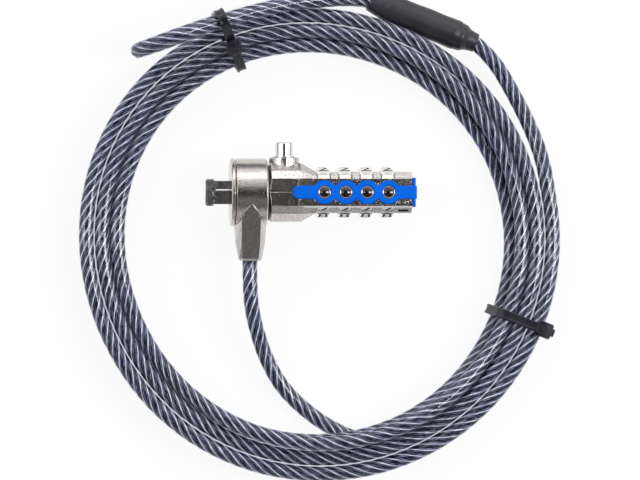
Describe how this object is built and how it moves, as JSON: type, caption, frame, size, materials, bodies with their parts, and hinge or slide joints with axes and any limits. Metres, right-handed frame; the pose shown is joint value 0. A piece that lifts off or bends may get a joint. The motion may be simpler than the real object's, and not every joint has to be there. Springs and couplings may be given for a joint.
{
  "type": "laptop cable lock",
  "caption": "Combination cable lock for a laptop's security slot: expanding hook, swivelling cable boot, numbered dials, push button, coiled coated steel cable ending in an eye.",
  "frame": {"origin": "centre of the nose face on the barrel's axis, where the hook leaves it", "axes": "+X along the barrel away from the hook, +Y towards the push button, +Z away from the surface that the lock lies on"},
  "size_m": [0.141, 0.1439, 0.0228],
  "materials": {
    "satin_nickel": "satin nickel on a zinc casting",
    "dial_metal": "satin nickel with dark digits",
    "dark_steel": "dark hardened steel",
    "spring_steel": "bright steel",
    "button_chrome": "polished chrome",
    "dark_chrome": "glossy dark dome",
    "blue_trim": "blue moulded trim",
    "mark_paint": "dark painted index line",
    "cable": "clear smoky coating over twisted galvanised wire",
    "shrink_black": "black heat-shrink tube",
    "black_nylon": "black nylon"
  },
  "bodies": {
    "cable_side": {"swivel_ring": "satin_nickel", "cable_anchor": "spring_steel", "cable_lead": "cable", "cable_coil": "cable", "cable_tail": "cable", "cable_eye": "cable", "crimp_ferrule": "satin_nickel", "shrink_sleeve": "shrink_black", "tie_left": "black_nylon", "tie_right": "black_nylon"},
    "barrel": {"core_tube": "satin_nickel", "hook_pin": "spring_steel", "thrust_washer": "black_nylon", "shell_upper": "satin_nickel", "shell_lower": "satin_nickel", "shell_pins": "spring_steel", "end_plug": "dark_steel", "index_mark": "mark_paint", "trim_clip": "blue_trim", "trim_studs": "dark_chrome", "detent_balls": "spring_steel", "button_bush": "button_chrome", "spindle_spring": "spring_steel"},
    "dial_one": {"dial_1": "dial_metal", "code_sleeve_1": "dark_steel"},
    "dial_two": {"dial_2": "dial_metal", "code_sleeve_2": "dark_steel"},
    "dial_three": {"dial_3": "dial_metal", "code_sleeve_3": "dark_steel"},
    "dial_four": {"dial_4": "dial_metal", "code_sleeve_4": "dark_steel"},
    "push_button": {"button": "button_chrome"},
    "spindle": {"spindle": "dark_steel"},
    "blade_front": {"hook_blade_front": "dark_steel"},
    "blade_back": {"hook_blade_back": "dark_steel"}
  },
  "joints": [
    {"name": "boot_swivel", "type": "hinge", "parent": "cable_side", "child": "barrel", "pos_m": [0.0055, 0, 0], "axis": [1, 0, 0], "continuous": true},
    {"name": "dial_turn_1", "type": "hinge", "parent": "barrel", "child": "dial_one", "pos_m": [0.02715, 0, 0], "axis": [1, 0, 0], "continuous": true},
    {"name": "dial_turn_2", "type": "hinge", "parent": "barrel", "child": "dial_two", "pos_m": [0.03343, 0, 0], "axis": [1, 0, 0], "continuous": true},
    {"name": "dial_turn_3", "type": "hinge", "parent": "barrel", "child": "dial_three", "pos_m": [0.03971, 0, 0], "axis": [1, 0, 0], "continuous": true},
    {"name": "dial_turn_4", "type": "hinge", "parent": "barrel", "child": "dial_four", "pos_m": [0.04599, 0, 0], "axis": [1, 0, 0], "continuous": true},
    {"name": "button_press", "type": "slide", "parent": "barrel", "child": "push_button", "axis": [0, -1, 0], "range_m": [0, 0.0018], "stiffness_N_per_m": 500},
    {"name": "spindle_slide", "type": "slide", "parent": "barrel", "child": "spindle", "axis": [1, 0, 0], "range_m": [0, 0.0018], "deforming": ["spindle_spring"]},
    {"name": "blade_front_swing", "type": "hinge", "parent": "barrel", "child": "blade_front", "pos_m": [0.0055, 0, 0], "axis": [0, 0, 1], "range_deg": [0, 3.4]},
    {"name": "blade_back_swing", "type": "hinge", "parent": "barrel", "child": "blade_back", "pos_m": [0.0055, 0, 0], "axis": [0, 0, 1], "range_deg": [-3.4, 0]}
  ],
  "couplings": [
    {"joint": "spindle_slide", "follows": "button_press", "ratio": 1},
    {"joint": "blade_front_swing", "follows": "button_press", "rad_per_m": 32.9},
    {"joint": "blade_back_swing", "follows": "button_press", "rad_per_m": -32.9}
  ]
}
